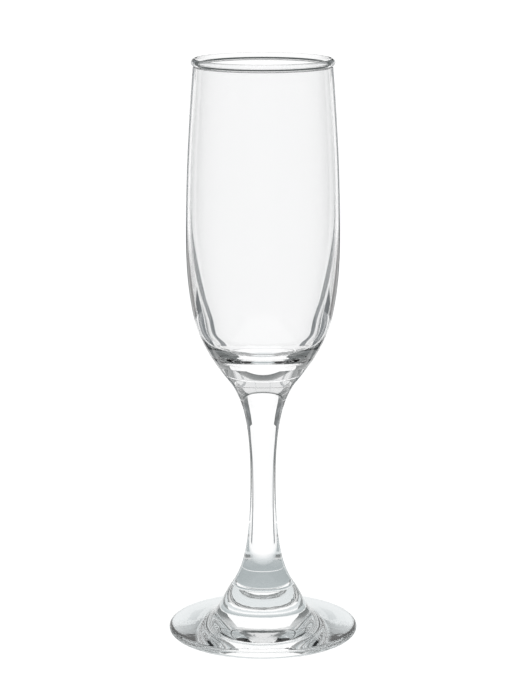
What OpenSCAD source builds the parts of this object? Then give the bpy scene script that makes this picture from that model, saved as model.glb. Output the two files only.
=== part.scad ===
// Stemmed champagne flute in clear glass, made as three pieces of glass that are sealed
// face to face while hot: a blown bowl with a melted rim, a drawn stem and a pressed foot.
// Z = 0 is the table that the foot stands on, and the Z axis is the glass's axis of symmetry.

/* [Overall] */
// Height from the table to the top of the rim
total_h = 209.5; // [170:0.5:260]

/* [Bowl] */
// Height of the bowl piece, from its seal with the stem to the top of the rim
bowl_h = 113; // [94:0.5:140]
// Largest outer diameter of the bowl, at its belly
belly_d = 54.8; // [52:0.1:66]
// Distance of the belly below the top of the rim
belly_drop = 63; // [52:0.5:72]
// Outer diameter of the wall just under the rim bead
mouth_d = 49.4; // [41:0.1:60]
// Lean of the outer side at the mouth, inwards from upright
mouth_lean = 4.7; // [2:0.1:7]
// Outer diameter of the shoulder, where the sides start to close in
shoulder_d = 50.4; // [42:0.1:52]
// Height of the shoulder above the seal
shoulder_h = 23; // [19:0.5:28]
// Lean of the outer side at the shoulder, from upright
shoulder_lean = 11; // [8:0.5:16]
// Wall thickness at the mouth
mouth_wall = 0.95; // [0.8:0.05:1.4]
// Lean of the inner side at the mouth, inwards from upright
mouth_wall_lean = 3.7; // [2:0.1:5]
// Wall thickness at the belly
belly_wall = 1.1; // [0.9:0.05:1.6]
// Height above the belly at which the cavity is widest
inner_belly_up = 5; // [0:0.5:10]
// How far the cavity's shoulder lies inside the outer one
shoulder_wall = 4.5; // [3:0.1:6]
// How far the cavity's shoulder lies below the outer one
inner_shoulder_drop = 5.3; // [3:0.1:6]
// Lean of the cavity's side at its shoulder, from upright
inner_shoulder_lean = 17.5; // [12:0.5:22]
// Glass between the seal and the lowest point of the cavity
base_glass = 6.5; // [4:0.5:8]
// Diameter of the flat middle of the cavity's rounded bottom
floor_d = 2; // [1:0.5:8]
// Diameter of the round bead that the melted rim draws up into
bead_d = 2.6; // [2:0.1:3.4]
// How far the bead stands out beyond the wall
bead_proud = 0.65; // [0.4:0.05:0.8]

/* [Stem] */
// Diameter of the seal between the bowl and the stem
top_seal_d = 28.4; // [23:0.1:34]
// Lean of the side at the bowl's seal, from upright
top_seal_lean = 37.5; // [30:0.5:45]
// Diameter of the stem at its waist
waist_d = 9.2; // [7:0.1:12]
// Where the waist lies along the stem, as a share of the stem's length from the foot
waist_at = 0.505; // [0.4:0.005:0.6]
// Diameter of the seal between the stem and the foot
foot_seal_d = 22.4; // [18:0.1:27]
// Lean of the side at the foot's seal, from upright
foot_seal_lean = 35; // [28:0.5:42]

/* [Foot] */
// Diameter of the foot
foot_d = 68.8; // [57:0.1:84]
// Height of the foot piece, from the table to its seal with the stem
foot_h = 18; // [15:0.5:22]
// Thickness of the foot at its rounded edge
edge_t = 2.8; // [2:0.1:3.6]
// Width of the flat ring that the foot stands on
ring_w = 2.8; // [1.5:0.1:4]
// How far the middle of the underside is hollowed above the table
hollow = 1.2; // [0.5:0.1:2]
// Slope of the foot's top near the edge, from level
brim_slope = 7; // [4:0.5:10]

/* [Hidden] */

$fn = 96;
steps = 16;                          // Straight pieces in each side's curve
bead_steps = 10;                     // Straight pieces in each half of the rim's bead
edge_steps = 12;                     // Straight pieces round the foot's edge
bead_out = 52;                       // Where the outer wall meets the bead, from its equator
bead_in = 64;                        // Where the inner wall meets the bead

stem_base = foot_h;
stem_top = total_h - bowl_h;
bead_r = bead_d / 2;
neck_z = total_h - 1.2 * bead_d;     // Where the wall starts to swell into the bead
belly_z = total_h - belly_drop;
floor_z = stem_top + base_glass;

// Unit direction [radius, height] that leans outwards from upright by an angle
function lean(a) = [sin(a), cos(a)];

// A cubic curve from a to d that leaves a along out and arrives at d along in, where
// pull_a and pull_d say how firmly each end holds its direction, as shares of the span
function side(a, out, d, in, pull_a = 0.35, pull_d = 0.35) =
    let (span = norm(d - a), b = a + out * span * pull_a, c = d - in * span * pull_d)
    [for (i = [0 : steps]) let (t = i / steps, u = 1 - t)
        a * u * u * u + b * 3 * u * u * t + c * 3 * u * t * t + d * t * t * t];

// An arc about c from angle a0 to a1, where 0 points outwards and 90 points up
function arc(c, r, a0, a1, n) =
    [for (i = [0 : n]) let (a = a0 + (a1 - a0) * i / n) c + r * [cos(a), sin(a)]];

// The list without its first point, for a curve that carries on from the one before
function rest(list) = [for (i = [1 : len(list) - 1]) list[i]];

// The list in the other order
function back(list) = [for (i = [len(list) - 1 : -1 : 0]) list[i]];

top_seal = [top_seal_d / 2, stem_top];
foot_seal = [foot_seal_d / 2, stem_base];
waist = [waist_d / 2, stem_base + (stem_top - stem_base) * waist_at];
belly = [belly_d / 2, belly_z];
shoulder = [shoulder_d / 2, stem_top + shoulder_h];
mouth = [mouth_d / 2, neck_z];
bead_c = [mouth[0] + bead_proud - bead_r, total_h - bead_r];

// Round bead of the rim, from its outer underside over the top to its inner underside
bead = concat(arc(bead_c, bead_r, -bead_out, 90, bead_steps),
              rest(arc(bead_c, bead_r, 90, 180 + bead_in, bead_steps)));

// Outer side of the bowl, from the seal up to the bead
bowl_outside = concat(
    side(top_seal, lean(top_seal_lean), shoulder, lean(shoulder_lean)),
    rest(side(shoulder, lean(shoulder_lean), belly, lean(0))),
    rest(side(belly, lean(0), mouth, lean(-mouth_lean))),
    rest(side(mouth, lean(-mouth_lean), bead[0], lean(bead_out))));

// Inner side of the bowl, from the middle of the cavity's bottom up to the bead
inner_belly = belly + [-belly_wall, inner_belly_up];
inner_shoulder = shoulder - [shoulder_wall, inner_shoulder_drop];
inner_mouth = mouth - [mouth_wall, 0];
bowl_inside = concat(
    [[0, floor_z]],
    side([floor_d / 2, floor_z], [1, 0], inner_shoulder, lean(inner_shoulder_lean), 0.45, 0.5),
    rest(side(inner_shoulder, lean(inner_shoulder_lean), inner_belly, lean(0))),
    rest(side(inner_belly, lean(0), inner_mouth, lean(-mouth_wall_lean))),
    rest(side(inner_mouth, lean(-mouth_wall_lean), bead[2 * bead_steps], lean(-bead_in))));

// Waisted side of the stem, from the foot's seal up to the bowl's
stem_side = concat(
    side(foot_seal, lean(-foot_seal_lean), waist, lean(0), 0.22, 0.5),
    rest(side(waist, lean(0), top_seal, lean(top_seal_lean), 0.7, 0.16)));

// Rounded edge of the foot, and its top from there up the hub to the seal
edge_r = edge_t / 2;
edge_c = [foot_d / 2 - edge_r, edge_r];
foot_edge = arc(edge_c, edge_r, -90, 90 - brim_slope, edge_steps);
foot_top = side(foot_edge[edge_steps], [-cos(brim_slope), sin(brim_slope)],
                foot_seal, lean(-foot_seal_lean), 0.75, 0.5);

// Hollowed underside of the foot, from its middle out to the ring that it stands on
foot_hollow = side([0, hollow], [1, 0], [edge_c[0] - ring_w, 0], [1, 0], 0.4, 0.3);

module bowl() {
    color([0.86, 0.91, 0.90, 0.4])
    rotate_extrude()
    polygon(concat([[0, stem_top]], bowl_outside, rest(bead), rest(back(bowl_inside))));
}

module stem() {
    color([0.80, 0.87, 0.86, 0.4])
    rotate_extrude()
    polygon(concat([[0, stem_base]], stem_side, [[0, stem_top]]));
}

module foot() {
    color([0.74, 0.82, 0.81, 0.4])
    rotate_extrude()
    polygon(concat(foot_hollow, foot_edge, rest(foot_top), [[0, stem_base]]));
}

bowl();
stem();
foot();
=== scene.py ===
"""Champagne flute in clear glass: a blown bowl, a drawn stem and a pressed foot, sealed hot."""
import math

import bpy
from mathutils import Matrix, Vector


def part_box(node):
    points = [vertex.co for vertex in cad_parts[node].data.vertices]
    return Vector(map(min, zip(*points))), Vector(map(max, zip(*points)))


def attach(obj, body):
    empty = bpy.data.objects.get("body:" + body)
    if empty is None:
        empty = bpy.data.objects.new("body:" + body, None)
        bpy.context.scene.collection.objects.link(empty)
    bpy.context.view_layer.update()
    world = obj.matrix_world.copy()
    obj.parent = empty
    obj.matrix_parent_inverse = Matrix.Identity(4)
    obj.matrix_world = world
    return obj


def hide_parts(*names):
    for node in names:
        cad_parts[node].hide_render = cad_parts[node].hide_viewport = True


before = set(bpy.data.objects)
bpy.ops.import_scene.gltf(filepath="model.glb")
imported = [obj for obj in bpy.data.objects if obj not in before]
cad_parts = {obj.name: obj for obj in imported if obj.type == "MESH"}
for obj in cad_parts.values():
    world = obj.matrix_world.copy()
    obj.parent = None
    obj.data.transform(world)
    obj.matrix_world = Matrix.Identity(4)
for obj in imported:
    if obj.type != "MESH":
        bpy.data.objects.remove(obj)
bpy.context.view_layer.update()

MM = 0.001

# ------------------------------------------------------------------ sizes of the glass
# Heights come from the imported pieces; the rest are the maker's own sizes.
_, foot_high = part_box("foot")
bowl_low, bowl_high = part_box("bowl")
TOTAL_H = bowl_high.z
BOWL_SEAL_H = bowl_low.z
FOOT_SEAL_H = foot_high.z

BELLY_R, BELLY_DROP = 27.4 * MM, 63 * MM
MOUTH_R, MOUTH_LEAN = 24.7 * MM, 4.7
SHOULDER_R, SHOULDER_UP, SHOULDER_LEAN = 25.2 * MM, 23 * MM, 11
MOUTH_WALL, MOUTH_WALL_LEAN = 0.95 * MM, 3.7
BELLY_WALL, INNER_BELLY_UP = 1.1 * MM, 5 * MM
INNER_SHOULDER_R, INNER_SHOULDER_UP, INNER_SHOULDER_LEAN = 20.7 * MM, 17.7 * MM, 17.5
BASE_GLASS, FLOOR_R = 6.5 * MM, 1 * MM
BEAD_R, BEAD_PROUD = 1.3 * MM, 0.65 * MM
BEAD_OUT, BEAD_IN = 52, 64        # where each wall meets the bead, in degrees from its equator
NECK = 2.4                        # height of the bead and its join, in bead radii
TOP_SEAL_R, TOP_SEAL_LEAN = 14.2 * MM, 37.5
WAIST_R, WAIST_AT = 4.6 * MM, 0.505
FOOT_SEAL_R, FOOT_SEAL_LEAN = 11.2 * MM, 35
FOOT_R, EDGE_R, RING_W = 34.4 * MM, 1.4 * MM, 2.8 * MM
HOLLOW, BRIM_SLOPE = 1.2 * MM, 7

# How firmly the ends of each drawn side hold their direction, as shares of its span
EVEN = (0.35, 0.35)
CAVITY_PULLS = (0.5, 0.45)
FOOT_FLARE_PULLS = (0.22, 0.5)
BOWL_FLARE_PULLS = (0.7, 0.16)
HUB_PULLS = (0.75, 0.5)
HOLLOW_PULLS = (0.4, 0.3)

AROUND = 256  # facets round the glass


# ------------------------------------------------------------------ node trees
class Wire:
    """A node socket that plain arithmetic adds Math nodes to."""

    def __init__(self, graph, socket):
        self.graph = graph
        self.socket = socket

    def _math(self, operation, *ends):
        made = self.graph.node("ShaderNodeMath", dict(enumerate(ends)), operation=operation)
        return Wire(self.graph, made.outputs[0])

    def __add__(self, other):
        return self._math("ADD", self, other)

    def __radd__(self, other):
        return self._math("ADD", other, self)

    def __sub__(self, other):
        return self._math("SUBTRACT", self, other)

    def __rsub__(self, other):
        return self._math("SUBTRACT", other, self)

    def __mul__(self, other):
        return self._math("MULTIPLY", self, other)

    def __rmul__(self, other):
        return self._math("MULTIPLY", other, self)

    def __truediv__(self, other):
        return self._math("DIVIDE", self, other)

    def __rtruediv__(self, other):
        return self._math("DIVIDE", other, self)

    def sine(self):
        return self._math("SINE", self)

    def cosine(self):
        return self._math("COSINE", self)


class Graph:
    """A node tree, with one method that adds any node to it."""

    def __init__(self, tree):
        self.tree = tree

    def node(self, kind, ends=None, stops=None, **settings):
        made = self.tree.nodes.new(kind)
        for name, value in settings.items():
            setattr(made, name, value)
        if stops:
            ramp = made.color_ramp.elements
            while len(ramp) < len(stops):
                ramp.new(1.0)
            for stop, (place, colour) in zip(ramp, stops):
                stop.position = place
                stop.color = colour
        for end, value in (ends or {}).items():
            self.feed(made.inputs[end], value)
        return made

    def feed(self, socket, value):
        if isinstance(value, Wire):
            self.tree.links.new(value.socket, socket)
        else:
            socket.default_value = value

    def wire(self, kind, ends=None, out=0, **settings):
        return Wire(self, self.node(kind, ends, **settings).outputs[out])

    def vector(self, operation, *ends, out=0):
        return self.wire("ShaderNodeVectorMath", dict(enumerate(ends)), out, operation=operation)

    def between(self, a, b, share):
        """The point that lies a share of the way from a to b."""
        made = self.node("ShaderNodeMix", data_type="VECTOR")
        self.feed(made.inputs[0], share)
        self.feed(made.inputs[4], a)
        self.feed(made.inputs[5], b)
        return Wire(self, made.outputs[1])


# ------------------------------------------------------------------ turned shapes
def new_group(name, inputs):
    """A Geometry Nodes tree with named inputs, given as {name: (kind, default)}."""
    tree = bpy.data.node_groups.new(name, "GeometryNodeTree")
    for label, (kind, default) in inputs.items():
        made = tree.interface.new_socket(label, in_out="INPUT", socket_type="NodeSocket" + kind)
        made.default_value = default
    tree.interface.new_socket("Geometry", in_out="OUTPUT", socket_type="NodeSocketGeometry")
    graph = Graph(tree)
    start = graph.node("NodeGroupInput")
    wires = {label: Wire(graph, start.outputs[label]) for label in inputs}
    return graph, wires


def turned_side():
    """One stretch of a turned shape: a cubic curve in radius and height, taken once round."""
    graph, size = new_group("turned side", {
        "Start": ("Vector", (0, 0, 0)),
        "Leave": ("Vector", (0, 0, 0)),
        "Arrive": ("Vector", (0, 0, 0)),
        "End": ("Vector", (0, 0, 0)),
        "Rings": ("Int", 16),
        "Around": ("Int", AROUND),
    })
    grid = graph.node("GeometryNodeMeshGrid", {
        "Size X": 1.0, "Size Y": 1.0,
        "Vertices X": size["Around"] + 1, "Vertices Y": size["Rings"] + 1})
    place = graph.wire("GeometryNodeInputPosition")
    split = graph.node("ShaderNodeSeparateXYZ", {0: place})
    turn = (Wire(graph, split.outputs[0]) + 0.5) * (2 * math.pi)
    along = Wire(graph, split.outputs[1]) + 0.5
    points = [size[label] for label in ("Start", "Leave", "Arrive", "End")]
    while len(points) > 1:
        points = [graph.between(a, b, along) for a, b in zip(points, points[1:])]
    outline = graph.node("ShaderNodeSeparateXYZ", {0: points[0]})
    radius, height = Wire(graph, outline.outputs[0]), Wire(graph, outline.outputs[2])
    spot = graph.wire("ShaderNodeCombineXYZ", {
        0: radius * turn.cosine(), 1: radius * turn.sine(), 2: height})
    moved = graph.node("GeometryNodeSetPosition", {"Geometry": Wire(graph, grid.outputs["Mesh"]),
                                                   "Position": spot})
    end = graph.node("NodeGroupOutput")
    graph.tree.links.new(moved.outputs[0], end.inputs[0])
    return graph.tree


SIDE = turned_side()


class Turning:
    """A Geometry Nodes tree that turns one piece from named sizes, a stretch at a time."""

    def __init__(self, name, sizes):
        self.name = name
        self.graph, self.size = new_group(name, {k: ("Float", v) for k, v in sizes.items()})
        self.stretches = []

    def point(self, radius, height):
        return self.graph.wire("ShaderNodeCombineXYZ", {0: radius, 2: height})

    def curve(self, a, lean_a, d, lean_d, rings, finish, pulls=EVEN, flat=False):
        """A side from a to d, where a lean is degrees from upright, outwards, and each pull
        says how firmly that end holds its direction, as a share of the span."""
        graph = self.graph
        span = graph.vector("DISTANCE", a, d, out=1)

        def along(lean, pull):
            way = (math.sin(math.radians(lean)), 0, math.cos(math.radians(lean)))
            return graph.wire("ShaderNodeVectorMath", {0: way, 3: span * pull}, operation="SCALE")

        leave = graph.vector("ADD", a, along(lean_a, pulls[0]))
        arrive = graph.vector("SUBTRACT", d, along(lean_d, pulls[1]))
        made = graph.node("GeometryNodeGroup", node_tree=SIDE)
        for label, value in (("Start", a), ("Leave", leave), ("Arrive", arrive), ("End", d),
                             ("Rings", rings), ("Around", AROUND)):
            graph.feed(made.inputs[label], value)
        shaded = graph.node("GeometryNodeSetShadeSmooth", {
            "Geometry": Wire(graph, made.outputs[0]), "Shade Smooth": not flat})
        self.stretches.append(graph.node("GeometryNodeSetMaterial", {
            "Geometry": Wire(graph, shaded.outputs[0]), "Material": finish}))

    def round(self, centre, radius, start, stop, count, rings, finish):
        """An arc about centre from angle start to stop, 0 outwards and 90 up, in curves."""
        graph = self.graph
        step = math.radians((stop - start) / count)
        pull = 4 / 3 * math.tan(step / 4) / (2 * math.sin(step / 2))
        spots = []
        for i in range(count + 1):
            angle = math.radians(start) + step * i
            reach = graph.wire("ShaderNodeVectorMath", {
                0: (math.cos(angle), 0, math.sin(angle)), 3: radius}, operation="SCALE")
            spots.append((graph.vector("ADD", centre, reach), -math.degrees(angle)))
        for (a, lean_a), (d, lean_d) in zip(spots, spots[1:]):
            self.curve(a, lean_a, d, lean_d, rings, finish, (pull, pull))
        return spots[0][0], spots[-1][0]

    def disc(self, centre_height, radius, finish, upwards):
        """A flat seal face, from the axis out or from the edge in."""
        middle, edge = self.point(0.0, centre_height), self.point(radius, centre_height)
        ends = (edge, middle) if upwards else (middle, edge)
        lean = -90 if upwards else 90
        self.curve(ends[0], lean, ends[1], lean, 1, finish, flat=True)

    def made(self):
        """The piece as a plain mesh object."""
        graph = self.graph
        joined = graph.node("GeometryNodeJoinGeometry")
        for stretch in reversed(self.stretches):
            graph.tree.links.new(stretch.outputs[0], joined.inputs[0])
        welded = graph.node("GeometryNodeMergeByDistance", {
            "Geometry": Wire(graph, joined.outputs[0]), "Distance": 0.001 * MM})
        real = graph.node("GeometryNodeRealizeInstances", {
            "Geometry": Wire(graph, welded.outputs[0])})
        end = graph.node("NodeGroupOutput")
        graph.tree.links.new(real.outputs[0], end.inputs[0])
        blank = bpy.data.objects.new(self.name + "_blank", bpy.data.meshes.new("blank"))
        bpy.context.scene.collection.objects.link(blank)
        modifier = blank.modifiers.new("turning", "NODES")
        modifier.node_group = graph.tree
        for item in graph.tree.interface.items_tree:
            if item.in_out == "INPUT":
                modifier[item.identifier] = item.default_value
        depsgraph = bpy.context.evaluated_depsgraph_get()
        mesh = bpy.data.meshes.new_from_object(
            blank.evaluated_get(depsgraph), preserve_all_data_layers=True, depsgraph=depsgraph)
        bpy.data.objects.remove(blank)
        mesh.name = self.name
        piece = bpy.data.objects.new(self.name, mesh)
        bpy.context.scene.collection.objects.link(piece)
        return piece


def place(piece, node, slot):
    """Hands a finished piece to the frame in place of its CAD node."""
    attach(piece, "root")
    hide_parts(node)


# ------------------------------------------------------------------ materials
def shader(name):
    material = bpy.data.materials.new(name)
    material.use_nodes = True
    graph = Graph(material.node_tree)
    return material, graph, graph.tree.nodes["Principled BSDF"]


def clear_glass(name, tint, ripple, grain):
    """Clear glass with a faint tint and slow ripples, of a height (ripple) and a scale (grain)."""
    material, graph, surface = shader(name)
    surface.inputs["Base Color"].default_value = (*tint, 1)
    surface.inputs["Transmission Weight"].default_value = 1.0
    surface.inputs["IOR"].default_value = 1.52
    surface.inputs["Roughness"].default_value = 0.0
    where = graph.wire("ShaderNodeTexCoord", out=3)
    waves = graph.wire("ShaderNodeTexNoise", {"Vector": where, "Scale": grain, "Detail": 1.0})
    bump = graph.wire("ShaderNodeBump", {"Strength": 1.0, "Distance": ripple, "Height": waves})
    graph.feed(surface.inputs["Normal"], bump)
    return material


def sealed_face(name):
    """The face where two pieces are fused: the glass carries on through it, unseen."""
    material, graph, surface = shader(name)
    surface.inputs["Alpha"].default_value = 0.0
    surface.inputs["Specular IOR Level"].default_value = 0.0
    surface.inputs["Roughness"].default_value = 1.0
    return material


BOWL_GLASS = clear_glass("bowl_glass", (0.991, 0.992, 0.994), 0.0005 * MM, 150)
STEM_GLASS = clear_glass("stem_glass", (0.991, 0.992, 0.994), 0.0005 * MM, 150)
FOOT_GLASS = clear_glass("foot_glass", (0.985, 0.988, 0.988), 0.01 * MM, 450)
SEALED = sealed_face("sealed_face")


# ------------------------------------------------------------------ the three pieces
def bowl():
    turning = Turning("bowl_glass", {
        "Height": TOTAL_H, "Seal height": BOWL_SEAL_H, "Seal radius": TOP_SEAL_R,
        "Shoulder radius": SHOULDER_R, "Shoulder up": SHOULDER_UP,
        "Belly radius": BELLY_R, "Belly drop": BELLY_DROP, "Belly wall": BELLY_WALL,
        "Mouth radius": MOUTH_R, "Mouth wall": MOUTH_WALL,
        "Bead radius": BEAD_R, "Bead proud": BEAD_PROUD,
        "Inner belly up": INNER_BELLY_UP, "Inner shoulder radius": INNER_SHOULDER_R,
        "Inner shoulder up": INNER_SHOULDER_UP, "Base glass": BASE_GLASS,
        "Floor radius": FLOOR_R})
    size, point = turning.size, turning.point
    seal_z = size["Seal height"]
    seal = point(size["Seal radius"], seal_z)
    shoulder = point(size["Shoulder radius"], seal_z + size["Shoulder up"])
    belly_z = size["Height"] - size["Belly drop"]
    belly = point(size["Belly radius"], belly_z)
    neck_z = size["Height"] - size["Bead radius"] * NECK
    mouth = point(size["Mouth radius"], neck_z)
    bead = point(size["Mouth radius"] + size["Bead proud"] - size["Bead radius"],
                 size["Height"] - size["Bead radius"])
    in_mouth = point(size["Mouth radius"] - size["Mouth wall"], neck_z)
    in_belly = point(size["Belly radius"] - size["Belly wall"], belly_z + size["Inner belly up"])
    in_shoulder = point(size["Inner shoulder radius"], seal_z + size["Inner shoulder up"])
    floor_z = seal_z + size["Base glass"]
    floor_edge = point(size["Floor radius"], floor_z)
    glass = BOWL_GLASS
    turning.disc(seal_z, size["Seal radius"], SEALED, upwards=False)
    turning.curve(seal, TOP_SEAL_LEAN, shoulder, SHOULDER_LEAN, 30, glass)
    turning.curve(shoulder, SHOULDER_LEAN, belly, 0, 24, glass)
    turning.curve(belly, 0, mouth, -MOUTH_LEAN, 24, glass)
    first, last = turning.round(bead, size["Bead radius"], -BEAD_OUT, 180 + BEAD_IN, 4, 10,
                                glass)
    turning.curve(mouth, -MOUTH_LEAN, first, BEAD_OUT, 6, glass)
    turning.curve(last, 180 - BEAD_IN, in_mouth, 180 - MOUTH_WALL_LEAN, 6, glass)
    turning.curve(in_mouth, 180 - MOUTH_WALL_LEAN, in_belly, 180, 24, glass)
    turning.curve(in_belly, 180, in_shoulder, 180 + INNER_SHOULDER_LEAN, 24, glass)
    turning.curve(in_shoulder, 180 + INNER_SHOULDER_LEAN, floor_edge, 270, 32, glass, CAVITY_PULLS)
    turning.curve(floor_edge, 270, point(0.0, floor_z), 270, 10, glass)
    place(turning.made(), "bowl", "bowl_glass")


def stem():
    turning = Turning("stem_glass", {
        "Foot seal height": FOOT_SEAL_H, "Foot seal radius": FOOT_SEAL_R,
        "Bowl seal height": BOWL_SEAL_H, "Bowl seal radius": TOP_SEAL_R,
        "Waist radius": WAIST_R, "Waist at": WAIST_AT})
    size, point = turning.size, turning.point
    low, high = size["Foot seal height"], size["Bowl seal height"]
    base = point(size["Foot seal radius"], low)
    top = point(size["Bowl seal radius"], high)
    waist = point(size["Waist radius"], low + (high - low) * size["Waist at"])
    turning.disc(low, size["Foot seal radius"], SEALED, upwards=False)
    turning.curve(base, -FOOT_SEAL_LEAN, waist, 0, 48, STEM_GLASS, FOOT_FLARE_PULLS)
    turning.curve(waist, 0, top, TOP_SEAL_LEAN, 48, STEM_GLASS, BOWL_FLARE_PULLS)
    turning.disc(high, size["Bowl seal radius"], SEALED, upwards=True)
    place(turning.made(), "stem", "stem_glass")


def foot():
    turning = Turning("foot_glass", {
        "Seal height": FOOT_SEAL_H, "Seal radius": FOOT_SEAL_R, "Radius": FOOT_R,
        "Edge radius": EDGE_R, "Ring width": RING_W, "Hollow": HOLLOW})
    size, point = turning.size, turning.point
    seal = point(size["Seal radius"], size["Seal height"])
    edge = size["Edge radius"]
    centre = point(size["Radius"] - edge, edge)
    ring_out = point(size["Radius"] - edge, 0.0)
    ring_in = point(size["Radius"] - edge - size["Ring width"], 0.0)
    middle = point(0.0, size["Hollow"])
    glass = FOOT_GLASS
    turning.curve(middle, 90, ring_in, 90, 40, glass, HOLLOW_PULLS)
    turning.curve(ring_in, 90, ring_out, 90, 4, glass)
    first, last = turning.round(centre, edge, -90, 90 - BRIM_SLOPE, 2, 10, glass)
    turning.curve(last, BRIM_SLOPE - 90, seal, -FOOT_SEAL_LEAN, 64, glass, HUB_PULLS)
    turning.disc(size["Seal height"], size["Seal radius"], SEALED, upwards=True)
    place(turning.made(), "foot", "foot_glass")


bowl()
stem()
foot()


# ------------------------------------------------------------------ camera and studio
CAMERA_AT = (0, -0.8385, 0.2881)
CAMERA_DOWN, CAMERA_LENS = 12.28, 123.4


def camera():
    """A short telephoto a little above the rim, looking down at the foot."""
    data = bpy.data.cameras.new("camera")
    data.lens = CAMERA_LENS
    data.sensor_width = 36.0
    data.clip_start = 0.02
    data.clip_end = 30.0
    made = bpy.data.objects.new("camera", data)
    made.location = CAMERA_AT
    made.rotation_euler = (math.radians(90 - CAMERA_DOWN), 0, 0)
    bpy.context.scene.collection.objects.link(made)
    bpy.context.scene.camera = made
    return made


def glow(name, colour, strength):
    material = bpy.data.materials.new(name)
    material.use_nodes = True
    graph = Graph(material.node_tree)
    graph.tree.nodes.clear()
    lamp = graph.node("ShaderNodeEmission", {"Color": (*colour, 1), "Strength": strength})
    out = graph.node("ShaderNodeOutputMaterial")
    graph.tree.links.new(lamp.outputs[0], out.inputs[0])
    return material


def panel(name, corners, material, parent=None, seen=True):
    mesh = bpy.data.meshes.new(name)
    mesh.from_pydata([Vector(c) for c in corners], [], [tuple(range(len(corners)))])
    mesh.materials.append(material)
    made = bpy.data.objects.new(name, mesh)
    made.visible_camera = seen
    made.parent = parent
    bpy.context.scene.collection.objects.link(made)
    return made


def room():
    """The unlit studio: grey near the table, lighter towards a pale ceiling."""
    world = bpy.data.worlds.new("room")
    world.use_nodes = True
    graph = Graph(world.node_tree)
    way = graph.wire("ShaderNodeTexCoord", out=0)
    split = graph.node("ShaderNodeSeparateXYZ", {0: way})
    ramp = graph.node("ShaderNodeValToRGB", {0: Wire(graph, split.outputs[2])}, stops=[
        (0.0, (0.17, 0.18, 0.18, 1)), (0.38, (0.24, 0.25, 0.25, 1)),
        (0.60, (0.74, 0.75, 0.75, 1)), (1.0, (0.80, 0.80, 0.80, 1))])
    graph.feed(world.node_tree.nodes["Background"].inputs[0], Wire(graph, ramp.outputs[0]))
    bpy.context.scene.world = world


def painted_shade_below(reach):
    """The white table with painted shade, greyer the further under the foot it lies."""
    material, graph, surface = shader("painted_shade_under_foot")
    surface.inputs["Base Color"].default_value = (0, 0, 0, 1)
    surface.inputs["Specular IOR Level"].default_value = 0.0
    surface.inputs["Emission Strength"].default_value = WHITE
    where = graph.wire("ShaderNodeTexCoord", out=3)
    # painted shade: the glow darkens towards the middle, under the foot
    ramp = graph.node("ShaderNodeValToRGB", {0: graph.vector("LENGTH", where, out=1) / reach},
                      stops=[(0.0, (0.40, 0.44, 0.45, 1)), (0.40, (0.42, 0.46, 0.47, 1)),
                             (0.58, (0.60, 0.64, 0.65, 1)), (0.82, (0.76, 0.79, 0.80, 1)),
                             (1.0, (1, 1, 1, 1))])
    graph.feed(surface.inputs["Emission Color"], Wire(graph, ramp.outputs[0]))
    return material


WHITE = 1.09                      # glow of the white table and backdrop
TABLE_Z = -0.8 * MM
SIDE_Z, UNDER_Z = -0.6 * MM, -0.4 * MM        # hidden panels, each clear of the one below
UNDER_R = 46 * MM                 # reach of the painted shade under the foot
RIM_NEAR = 200 * MM               # how far the rim cards stand from the axis
RIM_CARD = (229 * MM, 330 * MM)   # their lower and upper edge
CLEAR_BOUNCES = 24                # how often light may pass through glass
GLOSSY_BOUNCES = 9                # how often it may be reflected, also inside the glass

# Dark cards that stand behind the glass, one on each side. Their corners are (half width, height)
# in mm, rounded from rays traced through the glass. They follow its outline roughly.
CARD_Y = 30 * MM
FLAG_INSIDE = ((17, 12), (20, 35), (24, 62), (24, 82), (13.5, 83), (17.5, 92), (21, 97), (24, 101),
               (28, 112), (29, 120), (32, 150), (33, 190), (33, 240))
FLAG_OUTSIDE = ((22, 12), (26, 35), (30, 62), (30, 81), (18, 83), (22, 92), (25.5, 97), (29, 101),
                (34, 112), (36, 120), (42, 150), (42, 190), (42, 240))
LOW_CARD = ((36, 74), (36, 97), (38, 106), (60, 106), (60, 74))


def upright(name, outline, side, material, rig):
    """A card that stands behind the glass, on one side of it."""
    panel(name, [(side * x * MM, CARD_Y, z * MM) for x, z in outline], material, rig, seen=False)


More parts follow.
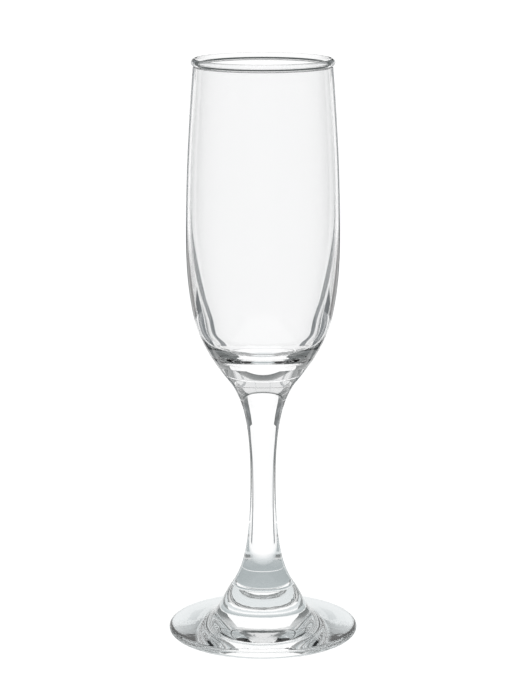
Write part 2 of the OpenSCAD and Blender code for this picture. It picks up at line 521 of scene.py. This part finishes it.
def studio():
    scene = bpy.context.scene
    scene.view_settings.view_transform = "Standard"
    scene.view_settings.look = "None"
    for kind in ("max", "transmission", "transparent_max"):
        setattr(scene.cycles, kind + "_bounces", CLEAR_BOUNCES)
    scene.cycles.glossy_bounces = GLOSSY_BOUNCES
    room()
    rig = bpy.data.objects.new("light_rig", None)
    scene.collection.objects.link(rig)
    follow = rig.constraints.new("LOCKED_TRACK")
    follow.target = scene.camera
    follow.track_axis = "TRACK_NEGATIVE_Y"
    follow.lock_axis = "LOCK_Z"
    white = glow("lit_white", (1, 1, 1), WHITE)
    grey = glow("painted_table_shade", (0.17, 0.18, 0.18), 1.0)
    dark = glow("flag_grey", (0.24, 0.255, 0.265), 1.0)
    rim_dark = glow("rim_grey", (0.10, 0.11, 0.11), 1.0)
    far = 3.0
    panel("floor", [(-far, -far, TABLE_Z), (far, -far, TABLE_Z), (far, far, TABLE_Z),
                    (-far, far, TABLE_Z)], white)
    turns = [math.radians(360 * i / 64) for i in range(64)]
    # a hidden disc of painted shade under the foot, seen only through the glass
    panel("under", [(UNDER_R * math.cos(t), UNDER_R * math.sin(t), UNDER_Z) for t in turns],
          painted_shade_below(UNDER_R), rig, seen=False)
    back = 2.5
    wide, high = back * math.tan(math.radians(30)), 2.1
    panel("backdrop", [(-wide, back, -0.01), (wide, back, -0.01), (wide, back, high),
                       (-wide, back, high)], white, rig)
    near = 0.06
    for side, name in ((-1, "left"), (1, "right")):
        upright("flag_" + name, FLAG_INSIDE + FLAG_OUTSIDE[::-1], side, dark, rig)
        upright("low_" + name, LOW_CARD, side, dark, rig)
        # hidden grey sheets on the table at each side, seen only through the glass: painted shade
        # on the table
        panel("side_" + name, [(side * near, 0, SIDE_Z), (side * near, -far, SIDE_Z),
                               (side * far, -far, SIDE_Z), (side * far, 3.4, SIDE_Z)],
              grey, rig, seen=False)
    r, (low, top) = RIM_NEAR, RIM_CARD
    for name, a, b in (("back", (-r, r), (r, r)), ("left", (-r, -r), (-r, r)),
                       ("right", (r, r), (r, -r))):
        panel("rim_" + name, [(*a, low), (*b, low), (*b, top), (*a, top)], rim_dark, rig,
              seen=False)
    # a hidden grey sheet on the table in front, seen only through the glass: painted shade on the
    # table
    panel("front", [(-near, -far, SIDE_Z), (near, -far, SIDE_Z), (near, -0.08, SIDE_Z),
                    (-near, -0.08, SIDE_Z)], grey, rig, seen=False)


camera()
studio()
